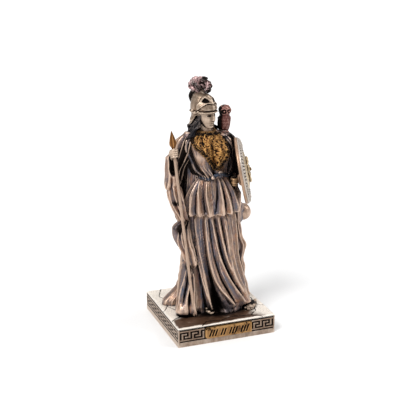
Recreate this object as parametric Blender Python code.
"""Small painted cast statue of a helmeted goddess on a square plinth.

She stands on a block with a key-pattern band and a plate on its front. Her right hand holds a spear
upright, a round shield hangs on her left forearm, and an owl sits on her left shoulder.

The origin is the centre of the plinth's underside. +Z is up, the plate faces -Y, and her left is +X.
Every mesh is in millimetres and each object's scale, MM, turns it into Blender's metres. A heading is
an angle about the vertical in degrees: 0 is the front, -Y, and 90 is her left, +X.
"""

import math
from typing import NamedTuple

import bmesh
import bpy
import numpy as np
from mathutils import Matrix, Vector

MM = 0.001

# Driving dimensions, in millimetres
PLINTH_SIDE = 35.0
PLINTH_HEIGHT = 6.9
GAP = 0.3

# Levels of the figure
FLOOR = PLINTH_HEIGHT + GAP
HEM = 41.2
BELT = 53.4

# Fusing the figure's forms into one solid
VOXEL = 0.36
FIGURE_TRIANGLES = 6350


class Bronze(NamedTuple):
    """Colour and finish of one painted material."""

    color: tuple
    roughness: float
    metallic: float


FINISHES = {
    "figure": Bronze((0.36, 0.26, 0.20, 1.0), 0.38, 0.75),
    "spear": Bronze((0.40, 0.27, 0.20, 1.0), 0.38, 0.75),
    "shield": Bronze((0.62, 0.57, 0.50, 1.0), 0.40, 0.65),
    "plinth": Bronze((0.62, 0.53, 0.45, 1.0), 0.42, 0.55),
    "nameplate": Bronze((0.60, 0.36, 0.10, 1.0), 0.35, 0.85),
}


def clear_scene():
    for obj in list(bpy.data.objects):
        bpy.data.objects.remove(obj)


def material(name, look):
    made = bpy.data.materials.new(name)
    made.use_nodes = True
    shader = made.node_tree.nodes["Principled BSDF"]
    shader.inputs["Base Color"].default_value = look.color
    shader.inputs["Roughness"].default_value = look.roughness
    shader.inputs["Metallic"].default_value = look.metallic
    return made


# Curves and forms


def spline(keys, values, at):
    """Smooth curve through rows of values at rising keys."""
    keys = np.asarray(keys, float)
    values = np.asarray(values, float).reshape(len(keys), -1)
    slopes = np.gradient(values, keys, axis=0)
    at = np.clip(np.atleast_1d(np.asarray(at, float)), keys[0], keys[-1])
    i = np.clip(np.searchsorted(keys, at) - 1, 0, len(keys) - 2)
    span = (keys[i + 1] - keys[i])[:, None]
    t = (at - keys[i])[:, None] / span
    start = (2 * t**3 - 3 * t**2 + 1) * values[i] + (t**3 - 2 * t**2 + t) * span * slopes[i]
    end = (3 * t**2 - 2 * t**3) * values[i + 1] + (t**3 - t**2) * span * slopes[i + 1]
    return start + end


def turned(angle):
    """The angle brought between -180 and 180."""
    return (angle + 180.0) % 360.0 - 180.0


class Fold(NamedTuple):
    """A ridge of cloth, or a valley where rise is negative. Each key is level, heading, width and rise."""

    keys: tuple
    sharpness: float = 1.5


def fold_height(folds, heading, level):
    """How far the folds stand out at each heading and level."""
    out = np.zeros_like(heading)
    rows = level[:, 0]
    for fold in folds:
        keys = np.array(sorted(fold.keys), float)
        path, width, rise = spline(keys[:, 0], keys[:, 1:], rows).T
        fade = np.clip((rows - keys[0, 0]) / 2 + 1, 0, 1) * np.clip((keys[-1, 0] - rows) / 2 + 1, 0, 1)
        away = np.abs(turned(heading - path[:, None])) / width[:, None]
        out += (rise * fade)[:, None] * np.exp(-(away**fold.sharpness))
    return out


def pleats(start, end, count, bottom, top, rise_bottom, rise_top, lean=0.0):
    """A row of like folds between two headings."""
    step = (end - start) / count
    made = []
    for i in range(count):
        heading = start + (i + 0.5) * step
        swing = 0.25 * step * math.sin(2.4 * i)
        keys = (
            (bottom, heading + lean + swing, 0.29 * step, rise_bottom * (1 + 0.3 * math.sin(1.7 * i))),
            (top, heading, 0.27 * step, rise_top * (1 + 0.3 * math.cos(2.1 * i))),
        )
        made.append(Fold(keys))
    return made


def drape(sections, folds=(), around=112, levels=64, hem_wave=0.0):
    """Rings of a cloth form. A section is level, centre x, centre y, half width, half depth, from the bottom up."""
    table = np.array(sections, float)
    height = np.linspace(table[0, 0], table[-1, 0], levels)
    centre_x, centre_y, half_x, half_y = spline(table[:, 0], table[:, 1:], height).T
    heading = np.linspace(-180.0, 180.0, around, endpoint=False)
    a, z = np.meshgrid(heading, height)
    out = fold_height(folds, a, z)
    x = centre_x[:, None] + (half_x[:, None] + out) * np.sin(np.radians(a))
    y = centre_y[:, None] - (half_y[:, None] + out) * np.cos(np.radians(a))
    share = (z - height[0]) / (height[-1] - height[0])
    z = z - hem_wave * out * np.clip(1 - 5 * share, 0, 1)
    return np.stack([x, y, z], axis=-1)


def tube(path, radii, around=20, steps=24):
    """Rings of a limb along a smooth path."""
    path = np.asarray(path, float)
    keys = np.linspace(0, 1, len(path))
    at = np.linspace(0, 1, steps)
    centre = spline(keys, path, at)
    radius = spline(keys, radii, at)[:, 0]
    along = np.gradient(centre, axis=0)
    along /= np.linalg.norm(along, axis=1)[:, None]
    side = np.cross(along, (0.31, 0.94, 0.13))
    side /= np.linalg.norm(side, axis=1)[:, None]
    other = np.cross(along, side)
    turn = np.linspace(0, 2 * math.pi, around, endpoint=False)
    ring = side[:, None] * np.cos(turn)[:, None] + other[:, None] * np.sin(turn)[:, None]
    return centre[:, None] + ring * radius[:, None, None]


def skin(rings):
    """A closed mesh over rings of points, as vertices and faces."""
    levels, around, _ = rings.shape
    grid = np.arange(levels * around).reshape(levels, around)
    low, high = grid[:-1], grid[1:]
    quads = np.stack([low, np.roll(low, -1, 1), np.roll(high, -1, 1), high], axis=-1).reshape(-1, 4)
    caps = [tuple(grid[0][::-1]), tuple(grid[-1])]
    return rings.reshape(-1, 3), [tuple(q) for q in quads] + caps


def placed(mesh, look=None, place=None):
    """An object for a mesh in millimetres, put at a place that is in millimetres as well."""
    obj = bpy.data.objects.new(mesh.name, mesh)
    bpy.context.scene.collection.objects.link(obj)
    obj.matrix_world = Matrix.Scale(MM, 4) @ (place or Matrix.Identity(4))
    if look:
        mesh.materials.clear()
        mesh.materials.append(look)
    return obj


def mesh_object(name, vertices, faces, look=None, place=None):
    """A mesh object, its faces turned outwards."""
    mesh = bpy.data.meshes.new(name)
    mesh.from_pydata([Vector(v) for v in vertices], [], faces)
    work = bmesh.new()
    work.from_mesh(mesh)
    bmesh.ops.recalc_face_normals(work, faces=work.faces)
    work.to_mesh(mesh)
    work.free()
    return placed(mesh, look, place)


def ball(centre, radii, turn=0.0, nod=0.0, segments=24):
    """Vertices and faces of an ellipsoid, turned to a heading and nodded forwards, in degrees."""
    work = bmesh.new()
    bmesh.ops.create_uvsphere(work, u_segments=segments, v_segments=segments // 2, radius=1.0)
    place = Matrix.Translation(centre) @ Matrix.Rotation(math.radians(turn), 4, "Z")
    place = place @ Matrix.Rotation(math.radians(nod), 4, "X") @ Matrix.Diagonal((*radii, 1.0))
    bmesh.ops.transform(work, matrix=place, verts=work.verts)
    vertices = [tuple(v.co) for v in work.verts]
    faces = [tuple(v.index for v in f.verts) for f in work.faces]
    work.free()
    return vertices, faces


def spun(profile, segments):
    """Vertices and faces turned about +Z from a profile of radius and height, both ends on the axis."""
    vertices = [(0, 0, profile[0][1]), (0, 0, profile[-1][1])]
    ring = profile[1:-1]
    for radius, height in ring:
        for i in range(segments):
            angle = 2 * math.pi * i / segments
            vertices.append((radius * math.cos(angle), radius * math.sin(angle), height))
    faces = []
    for i in range(segments):
        j = (i + 1) % segments
        faces.append((0, 2 + i, 2 + j))
        last = 2 + (len(ring) - 1) * segments
        faces.append((1, last + j, last + i))
        for k in range(len(ring) - 1):
            a, b = 2 + k * segments, 2 + (k + 1) * segments
            faces.append((a + i, b + i, b + j, a + j))
    return vertices, faces


def joined(forms):
    """Several closed forms as one list of vertices and faces."""
    vertices, faces = [], []
    for points, polygons in forms:
        start = len(vertices)
        vertices.extend(tuple(p) for p in points)
        faces.extend(tuple(i + start for i in polygon) for polygon in polygons)
    return vertices, faces


# Dress and cloak

SKIRT = (
    (FLOOR - 1, 2.3, -2.0, 11.6, 9.2),
    (12, 2.0, -1.6, 10.8, 8.6),
    (18, 1.5, -1.0, 9.6, 7.6),
    (26, 1.0, -0.5, 8.6, 6.6),
    (34, 0.9, -0.2, 8.2, 6.0),
    (HEM + 2, 0.8, 0.0, 7.4, 5.4),
)
OVERFOLD = (
    (HEM, 0.9, 0.0, 9.6, 7.3),
    (44, 1.0, 0.0, 9.4, 7.0),
    (48, 1.1, 0.0, 8.5, 6.3),
    (51, 1.1, 0.0, 6.9, 5.3),
    (BELT, 1.0, 0.1, 5.3, 4.4),
)
BODICE = (
    (BELT - 0.8, 1.2, 0.2, 5.0, 4.2),
    (54.6, 1.0, 0.0, 6.3, 5.1),
    (58, 0.5, 0.0, 6.6, 5.0),
    (62, 0.0, 0.0, 7.4, 5.2),
    (65.5, -0.7, 0.2, 8.0, 4.5),
    (67.6, -1.0, 0.3, 6.6, 3.6),
    (69.2, -1.3, 0.3, 3.4, 2.8),
)
CLOAK = (
    (FLOOR - 1, -0.8, 4.0, 9.8, 5.4),
    (12, -0.4, 3.7, 7.9, 4.9),
    (20, -0.1, 3.4, 7.0, 4.3),
    (30, 0.0, 3.2, 6.9, 4.1),
    (38, -0.6, 3.2, 7.6, 4.0),
    (44, -1.2, 3.1, 8.4, 3.9),
    (52, -1.3, 3.0, 8.3, 3.7),
    (60, -0.9, 2.8, 8.3, 3.6),
    (66, -1.0, 2.4, 7.4, 3.1),
    (69, -1.2, 2.0, 4.2, 2.2),
)
RIGHT_SLEEVE = (
    (49.6, -13.6, 0.9, 0.9, 1),
    (51, -13.2, 0.8, 1.65, 1.85),
    (54, -12.6, 0.9, 1.85, 2.25),
    (57, -11.8, 1.2, 1.85, 2.55),
    (60, -9.9, 1.3, 2.05, 2.85),
    (65, -7.9, 1.2, 2.15, 2.85),
    (68.6, -7.0, 1.0, 1.25, 1.45),
)
LEFT_SLEEVE = (
    (50.5, 8.8, 2.5, 1.4, 1.6),
    (53, 8.6, 2.4, 2.05, 2.45),
    (58, 7.9, 1.6, 2.05, 2.85),
    (64, 6.9, 1.0, 2.35, 2.85),
    (66.5, 6.1, 0.8, 1.95, 2.25),
    (68.6, 5.2, 0.8, 1.2, 1.5),
)
UPPER_FALL = (
    (37.2, -9.8, -1.6, 0.8, 0.8),
    (40, -10.8, -1.3, 1.05, 1.35),
    (44, -12.2, -0.8, 1.75, 1.95),
    (48, -12.3, 0.0, 1.85, 2.05),
    (51, -12.3, 0.6, 1.25, 1.55),
)
MIDDLE_FALL = (
    (22.5, -7.8, -4.2, 0.8, 0.8),
    (26, -8.7, -3.8, 1.5, 1.7),
    (28.5, -9.3, -3.4, 1.7, 1.9),
    (31, -10.0, -2.8, 2.1, 2.3),
    (35, -10.7, -2.0, 2.5, 2.5),
    (37.3, -10.2, -1.6, 1.9, 2.1),
    (39, -9.4, -1.4, 1.2, 1.6),
)
LOWER_FALL = (
    (FLOOR - 1, -10.6, -6.6, 3.2, 2.7),
    (9.5, -10.7, -6.6, 3.3, 2.7),
    (13, -10.3, -5.8, 2.8, 2.4),
    (18, -9.6, -4.8, 2.3, 2.2),
    (22, -9.3, -4.1, 1.7, 1.8),
    (25.5, -9.2, -3.5, 1, 1.2),
)
LEFT_FALL = (
    (FLOOR - 1, 11.0, 1.8, 1.1, 2.1),
    (12, 11.4, 2.2, 1.3, 2.1),
    (19, 11.5, 2.3, 1.5, 2.3),
    (22, 10.9, 2.0, 1.3, 2.3),
    (24.6, 11.3, 2.0, 1.4, 2.3),
    (27, 11.6, 1.9, 1.7, 2.5),
    (30, 10.6, 1.8, 1.3, 2.3),
    (33, 10.0, 1.8, 1.4, 2.4),
    (35.5, 10.2, 1.9, 1.2, 2.1),
    (38.5, 10.8, 2.1, 2, 2.7),
    (42, 10.8, 2.2, 2.3, 2.7),
    (46, 9.9, 1.9, 2.3, 2.6),
    (50, 9.2, 1.8, 1.5, 2.1),
    (52, 8.8, 1.8, 1, 1.4),
)
TRAIN = (
    (FLOOR - 1, -11.4, 4.0, 4.6, 3.0),
    (8.4, -11.2, 4.0, 4.1, 2.8),
    (10.5, -10.2, 4.0, 2.6, 2.6),
    (13.5, -9.0, 3.8, 1.2, 2.0),
)
ARM_BULGE = ((13.9, 3.2, 38.0), (2.9, 2.9, 2.9))

SKIRT_FOLDS = [
    Fold(((9, -52, 7, 1.4), (24, -64, 7, 1.1), (39, -84, 7, 0.7))),
    Fold(((8, -38, 8, -2.6), (14, -44, 7, -1.6), (39, -70, 7, -0.7))),
    Fold(((9, -24, 7, 1.6), (24, -38, 8, 1.2), (39, -58, 8, 0.8))),
    Fold(((8, -10, 9, -4.2), (13, -17, 7, -3.0), (20, -25, 5, -1.4), (39, -40, 5, -0.7))),
    Fold(((10, 12, 5, 1.6), (18, -13, 5, 1.4), (25, -22, 5, 1.0), (39, -31, 5, 0.6))),
    Fold(((10, 25, 4, -0.9), (20, -3, 4, -1.0), (26, -11, 4, -0.9), (39, -22, 4, -0.7))),
    Fold(((10, 34, 4, 1.0), (20, 12, 4, 1.1), (26, 2, 4, 0.9), (39, -14, 4, 0.6))),
    Fold(((12, 34, 3, -0.6), (24, 12, 4, -0.8), (39, -6, 4, -0.6))),
    Fold(((14, 34, 4, 0.6), (25, 17, 4, 0.8), (39, 1, 5, 0.7))),
    Fold(((26, 22, 3, -0.5), (39, 11, 4, -0.7))),
    Fold(((9, 46, 13, 2.2), (20, 35, 13, 1.5), (31, 29, 12, 1.4), (39, 26, 10, 0.8))),
    Fold(((10, 66, 8, -2.0), (20, 53, 6, -1.6), (28, 52, 5, -1.2), (39, 49, 5, -0.8))),
    *pleats(62, 118, 4, 9, 39, 0.9, 0.5),
]
OVERFOLD_FOLDS = [
    Fold(((42, -88, 8, 1.1), (47, -88, 8, 0.9), (52, -82, 8, 0.4))),
    Fold(((42, -75, 6, -1.0), (48, -79, 7, -1.1), (52, -74, 6, -0.6))),
    Fold(((42, -62, 7, 1.2), (47, -68, 6, 0.9), (52, -70, 6, 0.5))),
    Fold(((42, -52, 5, -0.9), (52, -62, 5, -0.5))),
    Fold(((42, -41, 6, 0.9), (47, -46, 5, 0.8), (52, -57, 5, 0.5))),
    Fold(((42, -30, 5, -0.8), (52, -44, 5, -0.4))),
    Fold(((42, -20, 5, 0.8), (48, -29, 5, 0.8), (52, -34, 5, 0.4))),
    Fold(((42, -6, 6, -0.9), (47, -3, 5, -1.0), (52, 0, 4, -0.6))),
    Fold(((42, 10, 5, 0.8), (48, 8, 5, 0.8), (52, 8, 4, 0.4))),
    Fold(((42, 18, 4, -0.6), (48, 13, 4, -0.6), (52, 12, 4, -0.3))),
    Fold(((42, 27, 5, 0.8), (47, 21, 5, 0.8), (52, 19, 4, 0.4))),
    Fold(((42, 38, 5, -0.8), (52, 28, 4, -0.4))),
    Fold(((42, 52, 7, 1.0), (47, 41, 6, 0.8), (52, 38, 5, 0.4))),
    *pleats(62, 120, 4, 42, 52, 0.7, 0.3),
]
BODICE_FOLDS = [
    Fold(((58.5, -42, 20, 0.9), (62, -40, 20, 1.7), (65, -40, 18, 0.6)), 2.0),
    Fold(((58.5, 30, 20, 0.9), (62, 30, 20, 1.7), (65, 32, 18, 0.6)), 2.0),
    Fold(((54, -8, 8, -0.5), (62, -4, 8, -0.8), (65, -4, 8, -0.3)), 2.0),
    *pleats(-86, -16, 6, 54, 60, 0.5, 0.2, -6),
    *pleats(-112, -62, 4, 56, 66, 0.6, 0.6),
    *pleats(50, 110, 4, 55, 66, 0.6, 0.6),
]
CLOAK_FOLDS = [*pleats(74, 286, 12, 8, 64, 2.0, 1.2, 5)]
FALL_FOLDS = {
    "sleeve": pleats(-150, 150, 7, 50, 66, 0.9, 1.0),
    "upper": pleats(-160, 100, 5, 38, 50, 1.2, 1.2, 14),
    "middle": pleats(-160, 100, 5, 24, 38, 1.4, 1.2, 10),
    "lower": pleats(-150, 120, 5, 9, 24, 1.5, 1.1, 8),
    "left": pleats(-60, 180, 5, 10, 46, 1.4, 1.1),
    "train": pleats(-180, 180, 8, 8, 13, 0.6, 0.3),
}

# Limbs, head and helmet

HEAD_HEADING = 25.0
HEAD = Vector((-2.0, -0.5, 75.2))
SPEAR_FOOT = Vector((-8.9, -9.6, FLOOR))
SPEAR_TIP = Vector((-14.0, -1.9, 70.2))
SHAFT_RADIUS = 0.55
FIST_LEVEL = 62.7


def spear_point(level):
    share = (level - SPEAR_FOOT.z) / (SPEAR_TIP.z - SPEAR_FOOT.z)
    return SPEAR_FOOT.lerp(SPEAR_TIP, share)


def on_head(side, forward, up):
    """A place measured from the middle of the head: to her left, forwards and up."""
    turn = math.radians(HEAD_HEADING)
    left = Vector((math.cos(turn), math.sin(turn), 0.0))
    front = Vector((math.sin(turn), -math.cos(turn), 0.0))
    return HEAD + left * float(side) + front * float(forward) + Vector((0, 0, float(up)))


def limbs():
    fist = spear_point(FIST_LEVEL)
    wrist = fist + Vector((-0.5, 1.1, -0.6))
    return [
        skin(tube([(-12.9, 1.3, 49.6), (-13.4, 0.4, 54.4), wrist], [2.4, 2.1, 1.3])),
        ball(fist + Vector((0.1, 0.4, 0)), (1.75, 1.8, 1.5)),
        skin(tube([(8.7, 3.2, 52.8), (8.2, 0.0, 52.2), (7.5, -3.6, 51.7)], [2.1, 1.8, 1.3])),
        ball((7.3, -4.2, 51.7), (1.5, 1.6, 1.6)),
        skin(tube([(-1.0, 0.6, 66.5), (-1.5, 0.0, 70.0), on_head(0, -0.6, -2.5)], [2.6, 2.0, 2.1])),
        ball((12.0, -8.0, FLOOR + 0.4), (3.2, 2.0, 1.5), turn=-42),
        ball((-2.6, -8.8, FLOOR + 0.3), (1.7, 2.6, 1.3), turn=-14),
    ]


def head():
    return [
        ball(on_head(0, -0.5, 0.9), (3.5, 4.0, 4.0), turn=HEAD_HEADING),
        ball(on_head(0, 1.5, -1.3), (3.0, 2.9, 3.7), turn=HEAD_HEADING, nod=8),
        ball(on_head(0, 4.2, -1.4), (0.5, 0.7, 1.0), turn=HEAD_HEADING),
        ball(on_head(0, 2.7, -4.1), (1.1, 1.0, 0.9), turn=HEAD_HEADING),
    ]


def hair():
    locks = []
    for side in (-1, 1):
        for i in range(3):
            start = on_head(side * (2.9 - 0.3 * i), -0.4 - 1.3 * i, -1.6)
            middle = on_head(side * (3.7 - 0.2 * i), -0.7 - 1.4 * i, -4.8)
            end = on_head(side * (6.2 - 1.0 * i), -1.0 - 1.6 * i, -8.0)
            locks.append(skin(tube([start, middle, end], [1.0, 1.2, 0.9])))
    locks.append(skin(tube([on_head(0, -2.4, 0.5), on_head(0, -2.9, -5), on_head(0.4, -3.8, -12)], [2.0, 2.3, 1.9])))
    return locks


HELMET = (
    (0.2, -0.3, 4.1, 4.6),
    (1.4, -0.4, 4.1, 4.6),
    (3.2, -0.7, 3.8, 4.2),
    (5.0, -1.1, 3.0, 3.3),
    (6.2, -1.4, 1.8, 2.1),
    (6.7, -1.5, 0.6, 0.8),
)


def helmet():
    """Dome with the pushed-up face guard, brow ridges and a neck guard. A section is up, forward, half width, half depth."""
    rows = np.array(HELMET, float)
    up = np.linspace(rows[0, 0], rows[-1, 0], 22)
    forward, half_x, half_y = spline(rows[:, 0], rows[:, 1:], up).T
    a, w = np.meshgrid(np.linspace(-180, 180, 48, endpoint=False), up)
    brow = 0.55 * np.exp(-((w - 0.3) ** 2) / 0.3) + 0.35 * np.exp(-((w - 4.6) ** 2) / 0.4) * (np.abs(a) < 60)
    eyes = -0.8 * np.exp(-((w - 3.5) ** 2) / 0.35 - ((np.abs(a) - 24) ** 2) / 110)
    ridge = 0.45 * np.exp(-(a**2) / 40) * np.clip(w - 1, 0, 1)
    out = brow + eyes + ridge
    side = (half_x[:, None] + out) * np.sin(np.radians(a))
    front = forward[:, None] + (half_y[:, None] + out) * np.cos(np.radians(a))
    rings = np.empty((*a.shape, 3))
    for i in range(a.shape[0]):
        for j in range(a.shape[1]):
            rings[i, j] = on_head(side[i, j], front[i, j], w[i, j])
    guard = skin(tube([on_head(0, -3.2, 1.5), on_head(0, -3.8, -1.2), on_head(0, -4.3, -3.2)], [2.0, 2.0, 1.2]))
    return [skin(rings), guard]


def crest():
    """Plumes standing in a fan along the helmet's middle, and the curved holder under them."""
    made = [
        skin(tube([on_head(0, 0.7, 5.4), on_head(0, -1.5, 7.4), on_head(0, -4.4, 5.4)], [0.8, 1.1, 0.8])),
        skin(tube([on_head(0, -5.2, 6.6), on_head(0, -5.7, 5.0), on_head(0, -5.5, 3.2)], [1.0, 0.8, 0.4])),
        ball(on_head(0, 1.2, 8.9), (1.8, 1.8, 2.2), turn=HEAD_HEADING),
    ]
    count = 8
    root = on_head(0, -1.6, 5.9)
    for i in range(count):
        angle = math.radians(38 - 122 * i / (count - 1))
        for side in (-0.9, 0.9):
            reach = 1 + 0.08 * math.sin(2.6 * i + side)
            tip = on_head(side, -1.7 + 4.1 * reach * math.sin(angle), 5.6 + 6.1 * reach * math.cos(angle))
            made.append(skin(tube([root, root.lerp(tip, 0.55), tip], [0.7, 1.1, 0.7], around=10, steps=8)))
    return made


def owl():
    """The owl on her left shoulder: body, head, folded wings, ear tufts and tail."""
    stand = Vector((5.5, 0.4, 68.2))
    return [
        ball(stand + Vector((0, 0.1, 3.2)), (1.9, 1.9, 3.9), nod=6),
        ball(stand + Vector((0, -0.4, 7.2)), (1.75, 1.7, 1.65)),
        ball(stand + Vector((-0.9, -0.5, 8.5)), (0.4, 0.4, 0.7)),
        ball(stand + Vector((0.9, -0.5, 8.5)), (0.4, 0.4, 0.7)),
        ball(stand + Vector((1.3, 0.6, 2.9)), (0.9, 1.5, 3.1), nod=8),
        ball(stand + Vector((-1.3, 0.6, 2.9)), (0.9, 1.5, 3.1), nod=8),
    ]


# Edge of the breast cover, from her right shoulder to her left: heading and level
AEGIS_EDGE = ((-48, 66.5), (-36, 64.4), (-24, 62.0), (-14, 59.2), (-4, 57.0), (9, 57.8), (20, 60.2), (30, 63.4), (44, 66.4))


def on_bodice(heading, level, out=0.0):
    """A place on the bodice's folded surface, moved out from it."""
    table = np.array(BODICE, float)
    cx, cy, rx, ry = spline(table[:, 0], table[:, 1:], level)[0]
    out += fold_height(BODICE_FOLDS, np.array([[float(heading)]]), np.array([[float(level)]]))[0, 0]
    angle = math.radians(heading)
    return Vector((cx + (rx + out) * math.sin(angle), cy - (ry + out) * math.cos(angle), level))


def aegis():
    """Raised edge of the breast cover, a row of small curls down to a point below the breasts."""
    edge = np.array(AEGIS_EDGE, float)
    headings = np.linspace(edge[0, 0], edge[-1, 0], 27)
    levels = spline(edge[:, 0], edge[:, 1], headings)[:, 0]
    return [ball(on_bodice(h, z, 0.2), (0.85, 0.8, 0.8), segments=10) for h, z in zip(headings, levels)]


def figure_forms():
    """Every closed form of the cast figure, overlapping, ready to be fused."""
    cloth = [
        drape(SKIRT, SKIRT_FOLDS, around=180, levels=90),
        drape(OVERFOLD, OVERFOLD_FOLDS, around=180, hem_wave=0.5),
        drape(BODICE, BODICE_FOLDS, around=150),
        drape(CLOAK, CLOAK_FOLDS, around=150),
        drape(RIGHT_SLEEVE, FALL_FOLDS["sleeve"]),
        drape(LEFT_SLEEVE, FALL_FOLDS["sleeve"]),
        drape(UPPER_FALL, FALL_FOLDS["upper"]),
        drape(MIDDLE_FALL, FALL_FOLDS["middle"]),
        drape(LOWER_FALL, FALL_FOLDS["lower"]),
        drape(LEFT_FALL, FALL_FOLDS["left"]),
        drape(TRAIN, FALL_FOLDS["train"]),
    ]
    forms = [skin(rings) for rings in cloth]
    forms += [ball(*ARM_BULGE)]
    return forms + limbs() + head() + hair() + helmet() + crest() + owl() + aegis() + hook()


def cutter(name, vertices, faces, place=None):
    """A hidden object that others are cut by or joined with."""
    made = mesh_object(name, vertices, faces, place=place)
    made.hide_render = True
    made.display_type = "WIRE"
    return made


def box(low, high):
    corners = [(x, y, z) for x in (low[0], high[0]) for y in (low[1], high[1]) for z in (low[2], high[2])]
    faces = [(0, 1, 3, 2), (4, 6, 7, 5), (0, 4, 5, 1), (2, 3, 7, 6), (0, 2, 6, 4), (1, 5, 7, 3)]
    return corners, faces


def cut(obj, operation, other):
    modifier = obj.modifiers.new(other.name, "BOOLEAN")
    modifier.operation = operation
    modifier.object = other


def fused(name, forms, look):
    """One solid from overlapping forms: remeshed on a fine grid, then thinned to few triangles."""
    rough = mesh_object(name + "_forms", *joined(forms))
    remesh = rough.modifiers.new("Fuse", "REMESH")
    remesh.mode = "VOXEL"
    remesh.voxel_size = VOXEL
    graph = bpy.context.evaluated_depsgraph_get()
    mesh = bpy.data.meshes.new_from_object(rough.evaluated_get(graph))
    bpy.data.objects.remove(rough)
    mesh.name = name
    obj = placed(mesh, look)
    thin = obj.modifiers.new("Thin", "DECIMATE")
    thin.ratio = FIGURE_TRIANGLES / (2 * len(mesh.polygons))
    return obj


def hook():
    """The cloak's edge where it turns out in a small hook beside her left leg."""
    path = [(9.6, 1.0, 36.0), (11.2, 0.6, 31.0), (12.9, 0.5, 26.6), (13.6, 0.5, 25.0)]
    return [skin(tube(path, [0.7, 1.0, 0.7, 0.3], around=12))]


def make_figure(look):
    """The cast figure, cut level above the plinth and kept clear of the spear and the shield."""
    figure = fused("figure", figure_forms(), look)
    cut(figure, "INTERSECT", cutter("above_plinth", *box((-30, -30, FLOOR), (30, 30, 100))))
    cut(figure, "DIFFERENCE", make_spear_clearance())
    cut(figure, "DIFFERENCE", make_shield_clearance())
    return figure


# Spear

SPEAR_LENGTH = (SPEAR_TIP - SPEAR_FOOT).length
BLADE_LENGTH = 6.4
BLADE_WIDTH = 1.35
BLADE_THICKNESS = 0.65


def spear_place():
    """Stands the spear's own +Z on its foot, leaning as she holds it, with the blade's flat to the front."""
    aim = (SPEAR_TIP - SPEAR_FOOT).to_track_quat("Z", "X").to_matrix().to_4x4()
    return Matrix.Translation(SPEAR_FOOT) @ aim @ Matrix.Rotation(math.radians(70), 4, "Z")


def make_spear_clearance():
    """The spear's space with the working gap round it, which the figure is cut by."""
    shaft, blade = SHAFT_RADIUS + GAP, BLADE_WIDTH + GAP
    neck = SPEAR_LENGTH - BLADE_LENGTH
    top = SPEAR_LENGTH + 4
    profile = ((0, -3), (shaft, -3), (shaft, neck - 0.3), (blade, neck + 1.2), (blade, top), (0, top))
    return cutter("spear_clearance", *spun(profile, 12), spear_place())


def make_spear(look):
    """Round shaft with a butt and a leaf-shaped blade, as one solid."""
    length = SPEAR_LENGTH
    neck = length - BLADE_LENGTH
    rows = (
        (0, 0.35, 0.35),
        (0.4, SHAFT_RADIUS, SHAFT_RADIUS),
        (neck - 0.4, SHAFT_RADIUS, SHAFT_RADIUS),
        (neck, SHAFT_RADIUS, SHAFT_RADIUS),
        (neck + 1.8, BLADE_WIDTH, BLADE_THICKNESS),
        (neck + 3.6, 0.8 * BLADE_WIDTH, 0.8 * BLADE_THICKNESS),
        (neck + 5.2, 0.4 * BLADE_WIDTH, 0.4 * BLADE_THICKNESS),
        (length, 0.08, 0.08),
    )
    turn = np.linspace(0, 2 * math.pi, 12, endpoint=False)
    rings = np.array([[(w * math.cos(t), d * math.sin(t), z) for t in turn] for z, w, d in rows])
    return mesh_object("spear", *skin(rings), look, spear_place())


# Shield

SHIELD_CENTRE = Vector((10.6, -4.7, 55.2))
SHIELD_HEADING = 64.0
SHIELD_TILT = 11.0
SHIELD_RADIUS = 11.4
SHIELD_PROFILE = (
    (0.0, 1.9),
    (4.4, 1.65),
    (7.4, 1.1),
    (7.7, 0.7),
    (8.2, 0.7),
    (8.4, 1.15),
    (SHIELD_RADIUS, 0.4),
    (SHIELD_RADIUS, -0.55),
    (8.6, -0.1),
    (4.4, 0.6),
    (0.0, 0.8),
)


def shield_place():
    """Turns the shield's own +Z, the way it faces, to its heading and tilt."""
    turn, tilt = math.radians(SHIELD_HEADING), math.radians(SHIELD_TILT)
    faces = Vector((math.sin(turn) * math.cos(tilt), -math.cos(turn) * math.cos(tilt), math.sin(tilt)))
    return Matrix.Translation(SHIELD_CENTRE) @ faces.to_track_quat("Z", "Y").to_matrix().to_4x4()


def make_shield(look):
    """Dished round shield with a sloped rim, a groove, a mask in relief and the arm loop behind."""
    shield = mesh_object("shield", *spun(SHIELD_PROFILE, 34), look, shield_place())
    relief = [ball((0, 0, 1.6), (2.5, 3.0, 1.0), segments=12)]
    locks = 11
    for i in range(locks):
        angle = 2 * math.pi * (i + 0.37) / locks
        place = (3.5 * math.cos(angle), 3.8 * math.sin(angle), 1.6)
        relief.append(ball(place, (1.1, 0.9, 0.65), turn=math.degrees(angle) + 11, segments=6))
    loop = skin(tube([(-0.6, -4.6, 1.2), (-0.6, -4.3, -1.4), (-0.6, -1.5, -1.4), (-0.6, -1.2, 1.4)], [0.55] * 4, 6, 8))
    for i, form in enumerate([*relief, loop]):
        cut(shield, "UNION", cutter(f"shield_relief_{i}", *form, shield_place()))
    return shield


def make_shield_clearance():
    """The shield's space with the working gap round it, which the figure is cut by."""
    profile = (
        (0.0, 5.0),
        (5.0, 4.6),
        (SHIELD_RADIUS + GAP, 1.4),
        (SHIELD_RADIUS + GAP, -0.55 - GAP),
        (8.6, -0.1 - 1.2 * GAP),
        (4.4, 0.6 - 1.2 * GAP),
        (0.0, 0.8 - 1.2 * GAP),
    )
    return cutter("shield_clearance", *spun(profile, 40), shield_place())


# Plinth and plate

KEY_UNITS = 9
POST = 0.55
CELL_COLUMNS = 6
GROOVE_DEPTH = 0.4
POCKET_DEPTH = 0.6
ROWS = (1.72, 0.45, 0.5, 0.52, 0.52, 0.52, 0.52, 0.52, 0.5, 0.45)
PLATE_CENTRE = 0.4
PLATE_WIDTH = 17.4
PLATE_HEIGHT = 4.4
PLATE_LEVEL = 3.75
PLATE_PROUD = 0.75
# Parallel slanted strokes in threes and pairs across the plate
STROKE_LEAN = 0.35
STROKE_PLACES = (-6.3, -5.4, -4.5, -2.8, -1.9, -0.2, 0.7, 1.6, 3.3, 4.2, 5.9, 6.8)
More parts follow.
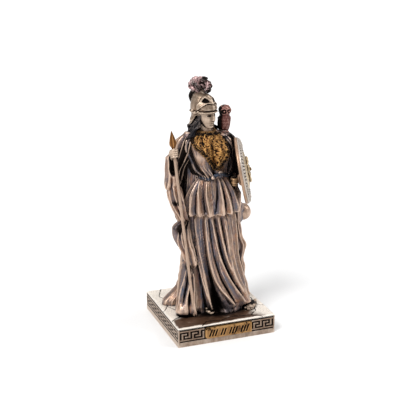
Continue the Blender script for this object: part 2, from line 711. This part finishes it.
# One repeat of the key, from the bottom row up: # stands and . is cut
KEY = ("######", "#.....", "#.###.", "#...#.", "###.#.", "....#.", "######")


def key_cell(column, row):
    """Whether a cell of the band stands, in the repeat that starts with its cut column."""
    return KEY[row][(column - 1) % CELL_COLUMNS] == "#"


def side_depths(columns, edges, levels, plate):
    """Depth of each cell of a side: 0 where it stands, the groove's or the plate pocket's depth where it is cut."""
    depth = np.zeros((columns, len(levels) - 1))
    for c in range(1, columns - 1):
        for r in range(1, 10):
            if r in (1, 9):
                depth[c, r] = GROOVE_DEPTH
            elif not key_cell(c - 1, r - 2):
                depth[c, r] = GROOVE_DEPTH
    if plate:
        middle = (edges[:-1] + edges[1:]) / 2 - PLATE_CENTRE
        inside = np.abs(middle) < PLATE_WIDTH / 2
        depth[inside, 1:10] = POCKET_DEPTH
    return depth


def side_faces(work, edges, levels, depth, place):
    """The stepped face of one side: a quad for each cell and a wall at each step."""

    def point(u, v, d):
        return work.verts.new(place @ Vector((u, d, v)))

    columns, rows = depth.shape
    for c in range(columns):
        for r in range(rows):
            u0, u1, v0, v1, d = edges[c], edges[c + 1], levels[r], levels[r + 1], depth[c, r]
            work.faces.new([point(u0, v0, d), point(u1, v0, d), point(u1, v1, d), point(u0, v1, d)])
            if c + 1 < columns and depth[c + 1, r] != d:
                e = depth[c + 1, r]
                work.faces.new([point(u1, v0, d), point(u1, v0, e), point(u1, v1, e), point(u1, v1, d)])
            if r + 1 < rows and depth[c, r + 1] != d:
                e = depth[c, r + 1]
                work.faces.new([point(u0, v1, d), point(u1, v1, d), point(u1, v1, e), point(u0, v1, e)])


def make_plinth(look):
    """Square block with a sunk key band on its four sides and a pocket for the plate on the front."""
    half = PLINTH_SIDE / 2
    columns = KEY_UNITS * CELL_COLUMNS + 2
    pitch = (PLINTH_SIDE - 2 * POST) / (columns - 1)
    edges = np.concatenate([[-half], -half + POST + pitch * np.arange(columns), [half]])
    levels = np.concatenate([[0], np.cumsum(ROWS), [PLINTH_HEIGHT]])
    work = bmesh.new()
    for quarter in range(4):
        place = Matrix.Rotation(math.radians(90 * quarter), 4, "Z") @ Matrix.Translation((0, -half, 0))
        depth = side_depths(len(edges) - 1, edges, levels, plate=quarter == 0)
        side_faces(work, edges, levels, depth, place)
    bmesh.ops.remove_doubles(work, verts=work.verts, dist=0.01)
    rim = [e for e in work.edges if e.is_boundary]
    bmesh.ops.holes_fill(work, edges=rim, sides=0)
    bmesh.ops.recalc_face_normals(work, faces=work.faces)
    mesh = bpy.data.meshes.new("plinth")
    work.to_mesh(mesh)
    work.free()
    return placed(mesh, look)


def make_nameplate(look):
    """Gilt plate with clipped ends and a row of shallow slanted strokes across it."""
    half, high, clip = PLATE_WIDTH / 2 - GAP, PLATE_HEIGHT / 2 - GAP, 0.7
    outline = [
        (-half, clip - high),
        (clip - half, -high),
        (half - 0.3, -high),
        (half, 0.3 - high),
        (half, high - 0.3),
        (half - 0.3, high),
        (clip - half, high),
        (-half, high - clip),
    ]
    back = -PLINTH_SIDE / 2 + POCKET_DEPTH - GAP
    front = -PLINTH_SIDE / 2 - PLATE_PROUD
    points = [(PLATE_CENTRE + x, y, PLATE_LEVEL + z) for y in (front, back) for x, z in outline]
    n = len(outline)
    sides = [(i, (i + 1) % n, (i + 1) % n + n, i + n) for i in range(n)]
    plate = mesh_object("nameplate", points, [tuple(range(n)), tuple(range(n, 2 * n)), *sides], look)
    soften = plate.modifiers.new("Soften", "BEVEL")
    soften.width = 0.22
    soften.segments = 1
    strokes = []
    for x in STROKE_PLACES:
        corners, faces = box((x - 0.2, front - 0.3, PLATE_LEVEL - 1.05), (x + 0.2, front + 0.25, PLATE_LEVEL + 1.05))
        strokes.append(([(u + STROKE_LEAN * (w - PLATE_LEVEL), v, w) for u, v, w in corners], faces))
    cut(plate, "DIFFERENCE", cutter("plate_strokes", *joined(strokes)))
    return plate


def main():
    clear_scene()
    looks = {name: material(name + "_bronze", finish) for name, finish in FINISHES.items()}
    make_figure(looks["figure"])
    make_spear(looks["spear"])
    make_shield(looks["shield"])
    make_plinth(looks["plinth"])
    make_nameplate(looks["nameplate"])


main()
